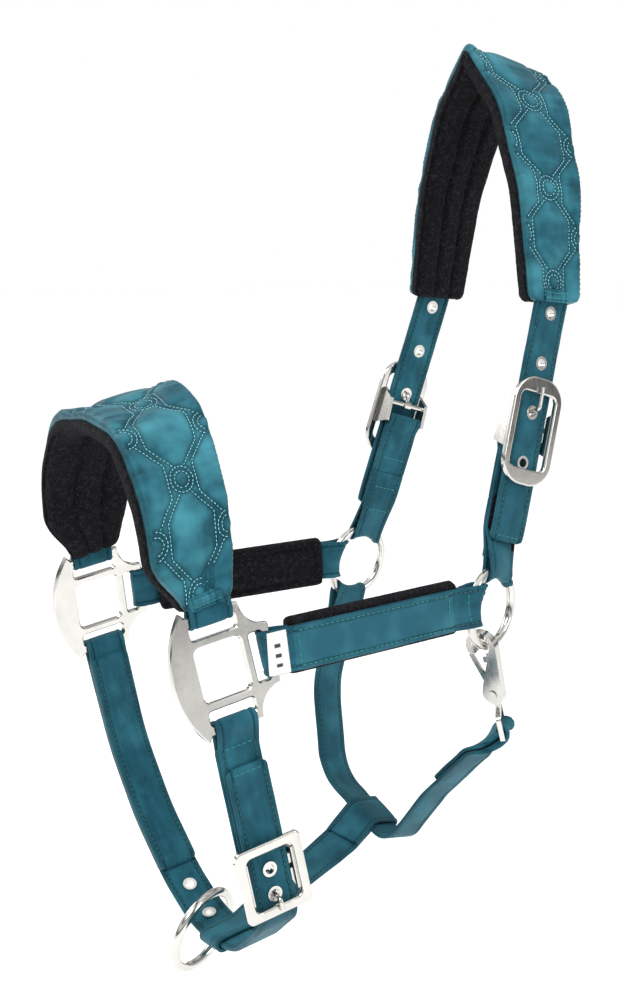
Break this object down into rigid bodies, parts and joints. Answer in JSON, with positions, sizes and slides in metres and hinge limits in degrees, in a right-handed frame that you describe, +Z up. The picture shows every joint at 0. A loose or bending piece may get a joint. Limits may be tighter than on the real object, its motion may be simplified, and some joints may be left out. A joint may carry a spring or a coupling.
{
  "type": "head halter",
  "caption": "Padded webbing head halter for a horse, with cast squares, rings, tongue buckles at crown and chin and a swivel snap at the throat.",
  "frame": {"origin": "poll seat: the middle of the crown pad's underside line, at the top of the head, in the middle plane", "axes": "+Z up, -Y towards the nose, +X to the horse's left (near) side, as the halter sits on a head"},
  "size_m": [0.205, 0.3072, 0.5532],
  "materials": {
    "teal_webbing": "satin woven webbing, teal",
    "teal_satin": "quilted satin cover, teal",
    "black_fleece": "short black fleece lining",
    "pad_foam": "soft foam filling",
    "polished_steel": "polished nickel-plated steel",
    "nickel_eyelet": "nickel-plated brass",
    "label_weave": "white woven label"
  },
  "bodies": {
    "halter": {"cheek_lining_left": "black_fleece", "cheek_lining_right": "black_fleece", "cheek_padding_left": "pad_foam", "cheek_padding_right": "pad_foam", "cheek_strap_left": "teal_webbing", "cheek_strap_right": "teal_webbing", "chin_buckle_frame": "polished_steel", "chin_buckle_strap": "teal_webbing", "chin_eyelets": "nickel_eyelet", "chin_pad": "teal_satin", "chin_strap": "teal_webbing", "crown_buckle_left_frame": "polished_steel", "crown_buckle_right_frame": "polished_steel", "crown_buckle_strap_left": "teal_webbing", "crown_buckle_strap_right": "teal_webbing", "crown_eyelets_left": "nickel_eyelet", "crown_eyelets_right": "nickel_eyelet", "crown_pad_cover": "teal_satin", "crown_pad_foam": "pad_foam", "crown_pad_lining": "black_fleece", "crown_strap": "teal_webbing", "jaw_strap": "teal_webbing", "nose_pad_cover": "teal_satin", "nose_pad_foam": "pad_foam", "nose_pad_lining": "black_fleece", "nose_strap": "teal_webbing", "size_label": "label_weave", "snap_eye": "polished_steel", "square_left": "polished_steel", "square_right": "polished_steel", "throat_strap": "teal_webbing"},
    "cheek_ring_left": {"cheek_ring_left": "polished_steel"},
    "cheek_ring_right": {"cheek_ring_right": "polished_steel"},
    "lead_ring": {"lead_ring": "polished_steel"},
    "crown_tongue_left": {"crown_buckle_left_tongue": "polished_steel"},
    "crown_tongue_right": {"crown_buckle_right_tongue": "polished_steel"},
    "chin_tongue": {"chin_buckle_tongue": "polished_steel"},
    "snap": {"snap_body": "polished_steel", "snap_rivet": "polished_steel", "snap_spring": "polished_steel"},
    "gate": {"snap_gate": "polished_steel"}
  },
  "joints": [
    {"name": "cheek_ring_left_spin", "type": "hinge", "parent": "halter", "child": "cheek_ring_left", "pos_m": [0.075, -0.057, -0.322], "axis": [0.9359, 0.3521, -0.0132], "continuous": true},
    {"name": "cheek_ring_right_spin", "type": "hinge", "parent": "halter", "child": "cheek_ring_right", "pos_m": [-0.075, -0.057, -0.322], "axis": [0.9742, 0.1755, -0.1419], "continuous": true},
    {"name": "lead_ring_spin", "type": "hinge", "parent": "halter", "child": "lead_ring", "pos_m": [0.001, -0.217, -0.521], "axis": [0.8814, 0.4006, -0.2504], "continuous": true},
    {"name": "crown_tongue_left_lift", "type": "hinge", "parent": "halter", "child": "crown_tongue_left", "pos_m": [0.06165, -0.026, -0.21411], "axis": [0, 0.9611, -0.2761], "range_deg": [0, 8]},
    {"name": "crown_tongue_right_lift", "type": "hinge", "parent": "halter", "child": "crown_tongue_right", "pos_m": [-0.06165, -0.026, -0.21411], "axis": [0, -0.9611, 0.2761], "range_deg": [0, 8]},
    {"name": "chin_tongue_lift", "type": "hinge", "parent": "halter", "child": "chin_tongue", "pos_m": [0.09479, -0.22415, -0.44625], "axis": [0, -0.9848, -0.1736], "range_deg": [0, 8]},
    {"name": "snap_swivel", "type": "hinge", "parent": "halter", "child": "snap", "pos_m": [0.0761, -0.0535, -0.37577], "axis": [0.03, -0.3001, 0.9534], "range_deg": [-12, 12]},
    {"name": "snap_gate_open", "type": "hinge", "parent": "snap", "child": "gate", "pos_m": [0.0761, -0.0535, -0.37577], "axis": [-0.3589, 0.887, 0.2905], "range_deg": [0, 12], "stiffness_Nm_per_rad": 0.02, "springref_deg": -5.73}
  ]
}
